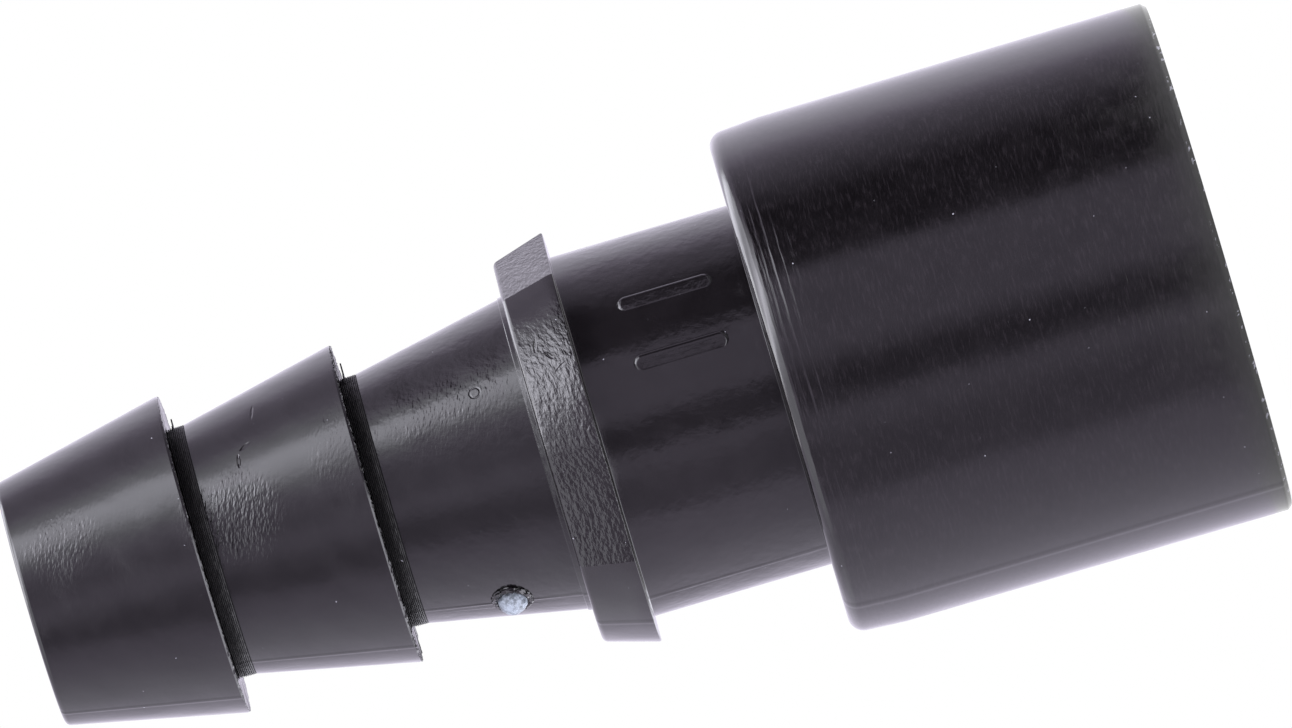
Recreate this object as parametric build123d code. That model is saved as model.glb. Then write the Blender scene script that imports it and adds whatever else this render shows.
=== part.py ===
from build123d import *

import os
from math import cos, hypot, radians, tan

# Hose connector in millimetres: a barbed tail that grips inside a soft hose, a tapered collar
# that the hose stops against, a neck, and a plain socket that a pipe end slides into.
# The real thing is one moulding in one plastic, so it is one solid.
# It stands on the rim of its socket. The origin is the centre of that rim, and +Z runs along
# the axis to the tip of the tail. The mould opens along Y, so its parting line is in the XZ plane.

# Socket: a pipe end slides in from below and stops on the step at its bottom
pipe_dia = 25.0
pipe_clearance = 0.1
socket_depth = 24.0
socket_wall = 3.45
stop_thickness = 3.7
lead_in_depth = 0.8
lead_in_length = 1.2
rim_chamfer = 0.3

# Outside of the socket: a little draft, then a band that falls away to a rounded shoulder
socket_draft = 0.06
shoulder_band_length = 3.3
shoulder_band_drop = 0.22
shoulder_rounding = 0.75

# Neck
neck_bore_dia = 16.0
neck_wall = 3.3
neck_length = 11.2
neck_root_flare = 0.35

# Funnel inside the neck, from the neck bore to the tail bore
funnel_length = 4.6
funnel_below_collar = 1.8

# Collar: widest at its heel, on the neck side, with flats for a spanner
collar_lip = 1.6
collar_length = 3.4
collar_taper = 16.3
collar_front_rounding = 0.4
flat_count = 4
flat_half_angle = 18.0
flat_first_angle = 45.0

# Tail: a root cone that ends at the collar, then two barbs, each above its own groove
tail_bore_dia = 11.4
tail_wall = 2.15
root_step_length = 0.5
root_step_height = 0.1
root_cone_length = 9.8
root_cone_rise = 1.9
groove_length = 1.05
barb_length = 9.8
barb_height = 2.1
barb_land = 0.15
tip_barb_length = 10.9
tip_set_in = 0.25
tip_rounding = 0.35
tip_bore_chamfer = 0.4

# Two raised bars on the neck, along the axis
bar_length = 6.1
bar_width = 1.05
bar_height = 0.12
bar_above_shoulder = 2.0
bar_first_angle = 82.3
bar_pitch_angle = 21.4
bar_count = 2

# Gate mark, where the plastic flowed in: a low ring round a broken stub, on the parting line
gate_above_collar = 4.5
gate_ring_dia = 2.7
gate_ring_height = 0.2
gate_crater_dia = 1.9
gate_crater_depth = 0.25
gate_stub_dia = 1.3
gate_stub_height = 0.1

# Radii that follow from the sizes above
socket_bore_radius = (pipe_dia + pipe_clearance) / 2
rim_radius = socket_bore_radius + socket_wall
band_radius = rim_radius - socket_draft
shoulder_radius = band_radius - shoulder_band_drop
neck_bore_radius = neck_bore_dia / 2
neck_radius = neck_bore_radius + neck_wall
heel_radius = neck_radius + collar_lip
collar_front_radius = heel_radius - collar_length * tan(radians(collar_taper))
tail_bore_radius = tail_bore_dia / 2
groove_radius = tail_bore_radius + tail_wall
barb_radius = groove_radius + barb_height
root_radius = groove_radius + root_cone_rise
step_radius = root_radius + root_step_height
tip_radius = groove_radius - tip_set_in

# Heights above the rim, in order up the axis
shoulder_z = socket_depth + stop_thickness
heel_z = shoulder_z + neck_length
collar_front_z = heel_z + collar_length
root_step_z = collar_front_z + root_step_length
root_top_z = collar_front_z + root_cone_length
barb_bottom_z = root_top_z + groove_length
barb_top_z = barb_bottom_z + barb_length
tip_barb_bottom_z = barb_top_z + groove_length
tip_z = tip_barb_bottom_z + tip_barb_length
funnel_top_z = heel_z - funnel_below_collar
funnel_bottom_z = funnel_top_z - funnel_length

# How far a cutting tool reaches past what it cuts
overshoot = 1.0


def moulding_section():
    """Half section, as radius and height, each corner with its rounding."""
    corners = [
        # Up the inside, from the mouth of the socket to the tip
        ((socket_bore_radius + lead_in_depth, 0), 0),
        ((socket_bore_radius, lead_in_length), 0),
        ((socket_bore_radius, socket_depth), 0),
        ((neck_bore_radius, socket_depth), 0),
        ((neck_bore_radius, funnel_bottom_z), 0),
        ((tail_bore_radius, funnel_top_z), 0),
        ((tail_bore_radius, tip_z - tip_bore_chamfer), 0),
        ((tail_bore_radius + tip_bore_chamfer, tip_z), 0),
        # Down the outside of the tail
        ((tip_radius, tip_z), tip_rounding),
        ((barb_radius, tip_barb_bottom_z + barb_land), 0),
        ((barb_radius, tip_barb_bottom_z), 0),
        ((groove_radius, tip_barb_bottom_z), 0),
        ((groove_radius, barb_top_z), 0),
        ((barb_radius, barb_bottom_z + barb_land), 0),
        ((barb_radius, barb_bottom_z), 0),
        ((groove_radius, barb_bottom_z), 0),
        ((groove_radius, root_top_z), 0),
        ((root_radius, root_step_z), 0),
        ((step_radius, root_step_z), 0),
        ((step_radius, collar_front_z), 0),
        # Collar, neck and socket
        ((collar_front_radius, collar_front_z), 0),
        ((heel_radius, heel_z), 0),
        ((neck_radius, heel_z), 0),
        ((neck_radius, shoulder_z + neck_root_flare), 0),
        ((neck_radius + neck_root_flare, shoulder_z), 0),
        ((shoulder_radius, shoulder_z), shoulder_rounding),
        ((band_radius, shoulder_z - shoulder_band_length), 0),
        ((rim_radius, rim_chamfer), 0),
        ((rim_radius - rim_chamfer, 0), 0),
    ]
    points = [(radius, 0, height) for (radius, height), _ in corners]
    roundings = [rounding for _, rounding in corners]
    return make_face(FilletPolyline(*points, radius=roundings, close=True))


def collar_flat(angle):
    """Tool that cuts one flat into the collar, with the collar's taper, so it keeps its share of the rim."""
    share = cos(radians(flat_half_angle))
    slope = share * tan(radians(collar_taper))
    bottom = (share * heel_radius + overshoot * slope, 0, heel_z - overshoot)
    top = (share * collar_front_radius - overshoot * slope, 0, collar_front_z + overshoot)
    outside = heel_radius + overshoot
    section = Polyline(bottom, top, (outside, 0, top[2]), (outside, 0, bottom[2]), close=True)
    return Rot(Z=angle) * extrude(make_face(section), amount=heel_radius, both=True)


def neck_bar(angle):
    """Raised bar with round ends, whose top follows the neck."""
    middle_z = shoulder_z + bar_above_shoulder + bar_length / 2
    seat = Plane(origin=(0, 0, middle_z), x_dir=(0, 0, 1), z_dir=(1, 0, 0))
    outline = seat * SlotOverall(bar_length, bar_width)
    column = extrude(outline, amount=heel_radius)
    crest = Pos(0, 0, middle_z) * Cylinder(neck_radius + bar_height, bar_length + overshoot)
    core = Pos(0, 0, middle_z) * Cylinder(neck_radius - neck_wall / 2, bar_length + overshoot)
    return Rot(Z=angle) * ((column & crest) - core)


def gate_place():
    """Place on the root cone where the gate mark stands, with Z square to the cone."""
    slope = root_cone_rise / (root_cone_length - root_step_length)
    radius = root_radius - (gate_above_collar - root_step_length) * slope
    along = Vector(radius, 0, collar_front_z + gate_above_collar)
    return Plane(origin=along, x_dir=(0, 1, 0), z_dir=(1, 0, slope))


def disc(place, diameter, low, high):
    """Round slab on a place, from one height to another along its Z."""
    return place * Pos(0, 0, (low + high) / 2) * Cylinder(diameter / 2, high - low)


def gate_mark(moulding):
    """Adds the ring and the stub of the gate to the moulding."""
    place = gate_place()
    root = -tail_wall / 2
    moulding += disc(place, gate_ring_dia, root, gate_ring_height)
    moulding -= disc(place, gate_crater_dia, -gate_crater_depth, gate_ring_height + overshoot)
    return moulding + disc(place, gate_stub_dia, root, gate_stub_height)


def round_collar_front(moulding):
    """Rounds the edge between the collar's front face and its cone and flats."""
    front = moulding.edges().filter_by_position(Axis.Z, collar_front_z - 0.01, collar_front_z + 0.01)
    middle_radius = (step_radius + collar_front_radius) / 2
    outline = [edge for edge in front if hypot((edge @ 0.5).X, (edge @ 0.5).Y) > middle_radius]
    return fillet(outline, collar_front_rounding)


connector = revolve(moulding_section(), Axis.Z)
for index in range(flat_count):
    connector -= collar_flat(flat_first_angle + index * 360 / flat_count)
connector = round_collar_front(connector)
for index in range(bar_count):
    connector += neck_bar(bar_first_angle + index * bar_pitch_angle)
connector = gate_mark(connector)

os.makedirs("parts", exist_ok=True)
export_step(connector, "parts/hose_connector.step")
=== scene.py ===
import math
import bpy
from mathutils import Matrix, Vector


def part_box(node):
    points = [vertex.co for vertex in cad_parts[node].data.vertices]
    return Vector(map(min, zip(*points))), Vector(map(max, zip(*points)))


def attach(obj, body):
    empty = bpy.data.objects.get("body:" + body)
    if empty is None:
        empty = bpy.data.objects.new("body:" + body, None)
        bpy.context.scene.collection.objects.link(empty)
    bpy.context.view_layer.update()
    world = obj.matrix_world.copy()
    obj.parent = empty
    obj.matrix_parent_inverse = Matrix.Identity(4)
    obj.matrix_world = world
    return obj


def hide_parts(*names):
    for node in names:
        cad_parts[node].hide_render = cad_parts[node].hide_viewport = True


bl_info = {
    "name": "Moulded hose connector",
    "version": (1, 0, 0),
    "blender": (4, 5, 0),
    "location": "View3D > Sidebar > Connector",
    "description": "Builds the skin of a barbed hose connector, its plastic, its stage and its camera",
    "category": "Object",
}

import bmesh
import bpy
from mathutils import Matrix, Vector

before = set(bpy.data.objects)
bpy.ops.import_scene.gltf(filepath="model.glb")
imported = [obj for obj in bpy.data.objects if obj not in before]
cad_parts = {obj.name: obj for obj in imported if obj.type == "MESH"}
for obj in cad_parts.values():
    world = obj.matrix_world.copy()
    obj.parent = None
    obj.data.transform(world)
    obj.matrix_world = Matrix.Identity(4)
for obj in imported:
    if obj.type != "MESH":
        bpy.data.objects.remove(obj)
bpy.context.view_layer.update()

NODE = "hose_connector"
BODY = "root"
MM = 0.001

# Places closer than NEAR count as the same, and roundings above WIDE_ROUNDING get more steps
NEAR = 1e-6
WIDE_ROUNDING = 0.35 * MM

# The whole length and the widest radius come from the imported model
LOW_CORNER, HIGH_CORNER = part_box(NODE)
WHOLE_LENGTH = HIGH_CORNER.z - LOW_CORNER.z
RIM_RADIUS = (HIGH_CORNER.x - LOW_CORNER.x) / 2


def length(name, size, description):
    """Property for a length, given in millimetres."""
    return bpy.props.FloatProperty(
        name=name, description=description, default=size * MM, unit="LENGTH", precision=5
    )


def angle(name, size, description):
    """Property for an angle, given in degrees."""
    return bpy.props.FloatProperty(
        name=name, description=description, default=math.radians(size), unit="ROTATION"
    )


def colour(name, value, description):
    """Property for a colour."""
    return bpy.props.FloatVectorProperty(
        name=name, description=description, default=value, size=4, subtype="COLOR", min=0, max=1
    )


def amount(name, value, description):
    """Property for a plain number."""
    return bpy.props.FloatProperty(name=name, description=description, default=value)


def count(name, value, description):
    """Property for a number of like things."""
    return bpy.props.IntProperty(name=name, description=description, default=value, min=1)


class MouldingSizes(bpy.types.PropertyGroup):
    socket_bore: length("Socket bore", 12.55, "Radius of the hole that the pipe slides into")
    socket_depth: length("Socket depth", 24.0, "From the rim to the step inside")
    lead_in_depth: length("Lead-in depth", 0.8, "How much the mouth of the socket widens")
    lead_in_length: length("Lead-in length", 1.2, "Height of the widened mouth")
    socket_length: length("Socket length", 27.7, "From the rim to the shoulder")
    socket_draft: length("Socket draft", 0.06, "How much the socket narrows below its band")
    band_length: length("Band length", 3.3, "Height of the band that falls away to the shoulder")
    band_drop: length("Band drop", 0.22, "How much the band falls away")
    shoulder_rounding: length("Shoulder rounding", 0.95, "Rounding of the socket's shoulder")
    neck_bore: length("Neck bore", 8.0, "Radius of the hole in the neck")
    neck_radius: length("Neck radius", 11.3, "Outer radius of the neck")
    neck_length: length("Neck length", 11.2, "From the shoulder to the collar")
    neck_root: length("Neck root", 0.04, "Flare where the neck meets the shoulder")
    funnel_length: length("Funnel length", 4.6, "Height of the funnel between the bores")
    funnel_below_collar: length("Funnel place", 1.8, "From the funnel's top to the collar")
    collar_lip: length("Collar lip", 1.6, "How far the collar's heel stands out of the neck")
    collar_length: length("Collar length", 3.4, "Height of the collar")
    collar_taper: angle("Collar taper", 16.3, "Slope of the collar")
    collar_rounding: length("Collar rounding", 0.4, "Rounding of the collar's front edge")
    flat_half_angle: angle("Flat half angle", 18.0, "Half the turn that one flat takes up")
    flat_turn: angle("Flat turn", 45.0, "From the parting line to the first flat")
    tail_bore: length("Tail bore", 5.7, "Radius of the hole in the tail")
    groove_radius: length("Groove radius", 7.85, "Outer radius of the grooves")
    groove_length: length("Groove length", 1.05, "Height of a groove")
    groove_tear: length("Groove tear", 0.13, "Depth of the fine ridges in a groove")
    groove_fade: amount("Groove fade", 0.75, "Share of their depth that the ridges lose downwards")
    groove_ridges: count("Groove ridges", 9, "Number of fine ridges in a groove")
    root_length: length("Root cone length", 9.8, "From the collar to the first groove")
    root_rise: length("Root cone rise", 1.9, "How much the root cone widens")
    root_step_length: length("Root step length", 0.32, "Height of the low step at the collar")
    root_step_height: length("Root step height", 0.07, "How far that step stands out")
    barb_length: length("Barb length", 9.8, "Height of the lower barb")
    barb_height: length("Barb height", 2.1, "How far a barb stands out of its groove")
    barb_land: length("Barb land", 0.15, "Height of the straight edge of a barb")
    barb_undercut: length("Barb undercut", 0.04, "How much the edge of a barb falls in")
    tip_set_in: length("Tip set-in", 0.25, "How much narrower than a groove the tip is")
    tip_rounding: length("Tip rounding", 0.35, "Rounding of the tip's outer edge")
    tip_chamfer: length("Tip chamfer", 0.4, "Chamfer inside the tip")
    rim_chamfer: length("Rim chamfer", 0.3, "Chamfer of the socket's rim")
    turn_steps: count("Turn steps", 360, "Steps of one turn")


class DetailSizes(bpy.types.PropertyGroup):
    ridge_height: length("Parting ridge height", 0.045, "How far the parting line stands out")
    ridge_half_width: length("Parting ridge half width", 0.05, "Half the width of the parting line")
    bar_count: count("Bar count", 2, "Number of raised bars on the neck")
    bar_length: length("Bar length", 6.1, "Length of a raised bar on the neck")
    bar_width: length("Bar width", 1.3, "Width of a raised bar")
    bar_height: length("Bar height", 0.11, "How far a bar stands out of the neck")
    bar_sunk: length("Bar root", 0.6, "How far a bar reaches into the neck")
    bar_rounding: length("Bar rounding", 0.34, "Rounding of the bar's crest")
    bar_lean: angle("Bar lean", 14.5, "How much a bar's crest leans")
    bar_above_shoulder: length("Bar place", 2.0, "From the shoulder to the bars")
    bar_first: angle("First bar", 82.3, "Turn from the gate to the first bar")
    bar_pitch: angle("Bar pitch", 21.4, "Turn from one bar to the next")
    gate_above_collar: length("Gate place", 4.5, "From the collar to the gate mark")
    gate_ring: length("Gate ring", 1.10, "Radius of the crest of the ring")
    gate_ring_thickness: length("Gate ring thickness", 0.17, "Half the width of the ring")
    gate_ring_sunk: length("Gate ring place", 0.04, "How far the ring's middle lies below the cone")
    gate_pit: length("Gate pit", 0.98, "Radius of the pit inside the ring")
    gate_pit_depth: length("Gate pit depth", 0.4, "Depth of the pit")
    gate_stretch: amount("Gate stretch", 1.2, "How much longer the ring is round the axis")
    gate_offset: length("Gate offset", 0.22, "From the parting line to the ring's middle")
    gate_wander: length("Gate wander", 0.055, "How far the torn edge of the ring wanders")
    gate_stub: length("Gate stub", 0.9, "Radius of the broken stub")
    stub_squash: amount("Stub squash", 0.95, "Width of the stub round the axis, as a share")
    stub_shift: length("Stub shift", 0.06, "How far the stub sits to the side and into the cone")
    stub_wander: length("Stub wander", 0.06, "How far the torn skin of the stub wanders")
    flash_thickness: length("Flash thickness", 0.09, "Thickness of the flash in the grooves")
    groove_wander: length("Groove wander", 0.015, "How far the ridges in the grooves wander")
    edge_wander: length("Edge wander", 0.05, "How far the barb edges wander")


class FinishSettings(bpy.types.PropertyGroup):
    plastic: colour("Plastic", (0.0044, 0.0037, 0.0042, 1), "Colour of the plastic")
    broken: colour("Broken plastic", (0.38, 0.43, 0.48, 1), "Colour where the stub broke off")
    # Also the colour of the painted glints along the rim
    dust: colour("Dust", (0.34, 0.34, 0.37, 1), "Colour of the dust specks")
    gloss_roughness: amount("Gloss roughness", 0.11, "Roughness of the smooth skin")
    stipple_roughness: amount("Stipple roughness", 0.12, "Roughness of the stippled collar")


class StageSettings(bpy.types.PropertyGroup):
    viewer_turn: angle("Viewer turn", 63.7, "Turn from the gate to the viewer")
    roll: angle("Roll", 16.4, "Slope of the connector in the picture")
    view_height: length("View height", 35.09, "Height of the picture's centre")
    view_side: length("View side", 3.48, "From the axis to the picture's centre")
    camera_height: length("Camera height", 25.0, "Height of the camera")
    camera_distance: length("Camera distance", 1250.0, "From the axis to the camera")
    field_width: length("Field width", 78.17, "Width that the picture shows at the axis")
    floor_size: length("Floor size", 120.0, "Side of the floor")
    overhead_power: bpy.props.FloatProperty(
        name="Overhead power", description="Power of the soft lamp overhead", default=2.0, unit="POWER"
    )


# Modelling helpers


def start_piece(name):
    """Names the object that was just added, and its mesh."""
    piece = bpy.context.object
    piece.name = name
    piece.data.name = name
    return piece


def select_only(piece):
    """Selects one piece, and nothing else, and makes it the active one."""
    bpy.ops.object.select_all(action="DESELECT")
    piece.select_set(True)
    bpy.context.view_layer.objects.active = piece


def edit(piece):
    """Opens a piece for editing with nothing selected."""
    bpy.ops.object.mode_set(mode="OBJECT")
    select_only(piece)
    bpy.ops.object.mode_set(mode="EDIT")
    bpy.ops.mesh.select_mode(type="VERT")
    bpy.ops.mesh.select_all(action="DESELECT")


def leave_edit():
    """Goes back to object mode."""
    bpy.ops.object.mode_set(mode="OBJECT")


def start_point(name, place):
    """Starts a piece as a single point at a place, open for editing and selected."""
    bpy.ops.object.select_all(action="DESELECT")
    bpy.ops.mesh.primitive_plane_add(size=MM, location=(0, 0, 0))
    piece = start_piece(name)
    edit(piece)
    bpy.ops.mesh.select_all(action="SELECT")
    bpy.ops.mesh.merge(type="CENTER")
    bpy.ops.transform.translate(value=place)
    return piece


def select_points(piece, test):
    """Selects the points of a piece whose place passes a test, and only those."""
    bpy.ops.mesh.select_all(action="DESELECT")
    mesh = bmesh.from_edit_mesh(piece.data)
    for point in mesh.verts:
        if test(point.co):
            point.select_set(True)
    mesh.select_flush_mode()
    bmesh.update_edit_mesh(piece.data)


def select_edges(piece, test):
    """Selects the edges of a piece whose two ends pass a test, and only those."""
    mesh = bmesh.from_edit_mesh(piece.data)
    for edge in mesh.edges:
        first, last = (point.co for point in edge.verts)
        edge.select_set(test(first, last))
    bmesh.update_edit_mesh(piece.data)


def settle(piece):
    """Puts a piece's place into its mesh, so that its object sits at the origin."""
    select_only(piece)
    bpy.ops.object.transform_apply(location=True, rotation=True, scale=True)


def apply_modifier(piece, kind, **settings):
    """Adds a modifier with its settings and applies it."""
    select_only(piece)
    modifier = piece.modifiers.new(kind.title(), kind)
    for key, value in settings.items():
        setattr(modifier, key, value)
    bpy.ops.object.modifier_apply(modifier=modifier.name)


def merge_with(piece, tool, operation):
    """Joins a tool to a piece, or cuts it out, and deletes the tool."""
    apply_modifier(piece, "BOOLEAN", operation=operation, object=tool, solver="EXACT")
    bpy.data.objects.remove(tool)


def round_corner(before, corner, after, rounding, steps):
    """Points of the arc that rounds one corner of an outline."""
    towards_before = (before - corner).normalized()
    towards_after = (after - corner).normalized()
    half = towards_before.angle(towards_after) / 2
    reach = rounding / math.tan(half)
    first = corner + towards_before * reach
    last = corner + towards_after * reach
    centre = corner + (towards_before + towards_after).normalized() * rounding / math.sin(half)
    points = []
    for step in range(steps + 1):
        spoke = (first - centre).slerp(last - centre, step / steps)
        points.append(centre + spoke * rounding)
    return points


def outline_points(corners):
    """Closed outline from corners, each with its rounding and the bands of the run that follows it.

    A wide rounding takes twice the steps of a fine one.
    """
    arcs = []
    for index, (radius, height, rounding, _) in enumerate(corners):
        corner = Vector((radius, height))
        before = Vector(corners[index - 1][:2])
        after = Vector(corners[(index + 1) % len(corners)][:2])
        if rounding == 0:
            arcs.append([corner])
        else:
            steps = 8 if rounding > WIDE_ROUNDING else 4
            arcs.append(round_corner(before, corner, after, rounding, steps))
    points = []
    for index, arc in enumerate(arcs):
        points.extend(arc)
        bands = corners[index][3]
        following = arcs[(index + 1) % len(arcs)][0]
        for band in range(1, bands):
            points.append(arc[-1].lerp(following, band / bands))
    return points


# Heights and radii that follow from the sizes


class Levels:
    """Heights up the axis and radii, worked out once from the sizes."""

    def __init__(self, sizes, ridge_height):
        self.shoulder = sizes.socket_length
        self.heel = self.shoulder + sizes.neck_length
        self.front = self.heel + sizes.collar_length
        self.root_step = self.front + sizes.root_step_length
        self.root_top = self.front + sizes.root_length
        self.barb_bottom = self.root_top + sizes.groove_length
        self.barb_top = self.barb_bottom + sizes.barb_length
        self.tip_barb_bottom = self.barb_top + sizes.groove_length
        self.tip = WHOLE_LENGTH
        self.funnel_top = self.heel - sizes.funnel_below_collar
        self.funnel_bottom = self.funnel_top - sizes.funnel_length
        self.heel_radius = sizes.neck_radius + sizes.collar_lip
        self.front_radius = self.heel_radius - sizes.collar_length * math.tan(sizes.collar_taper)
        self.barb_radius = sizes.groove_radius + sizes.barb_height
        self.root_radius = sizes.groove_radius + sizes.root_rise
        self.flat_inner = sizes.neck_radius + sizes.collar_lip / 3
        self.rim_radius = RIM_RADIUS - ridge_height
        self.band_radius = self.rim_radius - sizes.socket_draft


def torn_groove(sizes, top):
    """Corners of a groove from its top down, with fine ridges that swallow its light.

    The ridges grow shallower downwards.
    """
    pitch = sizes.groove_length / (sizes.groove_ridges + 0.5)
    corners = []
    for ridge in range(sizes.groove_ridges):
        height = top - (ridge + 0.5) * pitch
        tear = sizes.groove_tear * (1 - sizes.groove_fade * ridge / sizes.groove_ridges)
        corners.append((sizes.groove_radius - tear, height + pitch / 2, 0, 1))
        corners.append((sizes.groove_radius, height, 0, 1))
    corners.append((sizes.groove_radius - tear, height - pitch / 2, 0, 1))
    return corners


def moulding_corners(sizes, at):
    """Corners of the half section: radius, height, rounding, and bands up to the next corner."""
    soft = 0.1 * MM
    crisp = 0.08 * MM
    inside = 3 * soft
    band_bend = 15 * soft
    step_radius = at.root_radius + sizes.root_step_height
    step_slope = sizes.root_rise / sizes.root_length
    return [
        # Up the inside
        (sizes.socket_bore + sizes.lead_in_depth, 0, soft, 1),
        (sizes.socket_bore, sizes.lead_in_length, inside, 3),
        (sizes.socket_bore, sizes.socket_depth, inside, 2),
        (sizes.neck_bore, sizes.socket_depth, inside, 3),
        (sizes.neck_bore, at.funnel_bottom, inside, 2),
        (sizes.tail_bore, at.funnel_top, inside, 3),
        (sizes.tail_bore, at.tip - sizes.tip_chamfer, soft, 1),
        (sizes.tail_bore + sizes.tip_chamfer, at.tip, soft, 1),
        # Down the outside of the tail
        (sizes.groove_radius - sizes.tip_set_in, at.tip, sizes.tip_rounding, 2),
        (at.barb_radius, at.tip_barb_bottom + sizes.barb_land, crisp / 2, 1),
        (at.barb_radius - sizes.barb_undercut, at.tip_barb_bottom, crisp / 2, 1),
        *torn_groove(sizes, at.tip_barb_bottom),
        (sizes.groove_radius, at.barb_top, soft, 2),
        (at.barb_radius, at.barb_bottom + sizes.barb_land, crisp / 2, 1),
        (at.barb_radius - sizes.barb_undercut, at.barb_bottom, crisp / 2, 1),
        *torn_groove(sizes, at.barb_bottom),
        (sizes.groove_radius, at.root_top, soft, 2),
        (at.root_radius, at.root_step, crisp / 2, 1),
        (step_radius, at.root_step, crisp / 2, 1),
        (step_radius + sizes.root_step_length * step_slope, at.front, crisp, 2),
        # Collar, neck and socket
        (at.front_radius, at.front, sizes.collar_rounding, 3),
        (at.heel_radius, at.heel, soft, 2),
        (sizes.neck_radius, at.heel, soft, 6),
        (sizes.neck_radius, at.shoulder, sizes.neck_root, 2),
        (at.band_radius - sizes.band_drop, at.shoulder, sizes.shoulder_rounding, 2),
        (at.band_radius, at.shoulder - sizes.band_length, band_bend, 4),
        (at.rim_radius, sizes.rim_chamfer, 2 * soft, 1),
        (at.rim_radius - sizes.rim_chamfer, 0, soft, 1),
    ]


def draw_section(points):
    """Draws the half section in the XZ plane, as a point that is extruded along the outline."""
    place = points[0]
    piece = start_point("moulding", (place.x, 0, place.y))
    for point in points[1:]:
        step = (point.x - place.x, 0, point.y - place.y)
        bpy.ops.mesh.extrude_region_move(TRANSFORM_OT_translate={"value": step})
        place = point
    bpy.ops.mesh.select_all(action="SELECT")
    bpy.ops.mesh.edge_face_add()
    bpy.ops.mesh.delete(type="ONLY_FACE")
    return piece


def turn_section(piece, steps):
    """Turns the section round the axis into a closed skin."""
    leave_edit()
    apply_modifier(
        piece,
        "SCREW",
        steps=steps,
        render_steps=steps,
        use_merge_vertices=True,
        merge_threshold=NEAR,
    )
    edit(piece)
    bpy.ops.mesh.select_all(action="SELECT")
    bpy.ops.mesh.remove_doubles(threshold=NEAR)
    bpy.ops.mesh.normals_make_consistent(inside=False)


def flatten_collar(piece, sizes, at, points):
    """Scales each flat's stretch of each ring of the collar flat, along X and along Y."""
    rings = []
    for point in points:
        inner = at.front_radius - sizes.collar_rounding
        if point.y < at.heel + NEAR:
            inner = at.flat_inner
        if at.heel - NEAR < point.y < at.front + NEAR and point.x > inner:
            rings.append((point.x, point.y))
    share = math.cos(sizes.flat_half_angle)
    for radius, height in rings:
        for axis in range(2):
            for side in (-1, 1):
                edge = radius * share - NEAR

                def on_flat(place):
                    return (
                        abs(place.z - height) < NEAR
                        and abs(math.hypot(place.x, place.y) - radius) < NEAR
                        and place[axis] * side > edge
                    )

                select_points(piece, on_flat)
                scale = [1, 1, 1]
                scale[axis] = 0
                middle = [0, 0, height]
                middle[axis] = side * radius * share
                bpy.ops.transform.resize(value=scale, center_override=middle)


def mark_flat_edges(piece, sizes, at):
    """Keeps the long edges of the flats crisp."""
    mesh = bmesh.from_edit_mesh(piece.data)
    share = math.cos(sizes.flat_half_angle)
    wanted = math.sin(2 * sizes.flat_half_angle)
    margin = 1e-3
    inner = at.flat_inner * share
    for edge in mesh.edges:
        first, last = (point.co for point in edge.verts)
        level = at.heel - NEAR < min(first.z, last.z) and max(first.z, last.z) < at.front + NEAR
        if not level or min(math.hypot(first.x, first.y), math.hypot(last.x, last.y)) < inner:
            continue
        turns = [abs(math.sin(2 * math.atan2(place.y, place.x))) for place in (first, last)]
        if all(abs(turn - wanted) < margin for turn in turns):
            edge.smooth = False
    bmesh.update_edit_mesh(piece.data)


def bore_at(height, sizes, at):
    """Radius of the hole at a height."""
    if height < sizes.socket_depth:
        return sizes.socket_bore + sizes.lead_in_depth
    if height < at.funnel_top:
        return sizes.neck_bore
    return sizes.tail_bore + sizes.tip_chamfer


def raise_parting_line(piece, sizes, details, at):
    """Cuts a loop on each side of the parting line and pulls the line between them out."""
    clear_of_bore = 0.2 * MM
    for side in (-1, 1):
        bpy.ops.mesh.select_all(action="SELECT")
        bpy.ops.mesh.bisect(plane_co=(0, side * details.ridge_half_width, 0), plane_no=(0, 1, 0))
    for side in (-1, 1):

        def on_line(place):
            return (
                abs(place.y) < NEAR
                and place.x * side > bore_at(place.z, sizes, at) + clear_of_bore
                and place.z > sizes.rim_chamfer / 2
            )

        select_points(piece, on_line)
        bpy.ops.transform.translate(value=(side * details.ridge_height, 0, 0))


def roughen_edges(piece, sizes, details, at):
    """Tears the ridges in the grooves, and lets the lower edge of each barb wander, as flash does.

    The lower barb's edge wanders twice as far as the tip barb's.
    """
    margin = 0.1 * MM
    edge_margin = 0.02 * MM
    for seed, top in enumerate((at.tip_barb_bottom, at.barb_bottom)):

        def in_groove(place):
            reach = math.hypot(place.x, place.y)
            level = top - sizes.groove_length + margin < place.z < top - margin
            return level and sizes.groove_radius - 3 * margin < reach < sizes.groove_radius + NEAR

        select_points(piece, in_groove)
        bpy.ops.transform.vertex_random(
            offset=details.groove_wander, uniform=0.5, normal=0.3, seed=20 + seed
        )
    for seed, height in enumerate((at.tip_barb_bottom, at.barb_bottom)):

        def on_edge(place):
            reach = math.hypot(place.x, place.y)
            return abs(place.z - height) < edge_margin and reach > at.barb_radius - margin

        select_points(piece, on_edge)
        bpy.ops.transform.vertex_random(
            offset=details.edge_wander * (1 + seed), uniform=0.4, normal=0.0, seed=seed
        )


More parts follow.
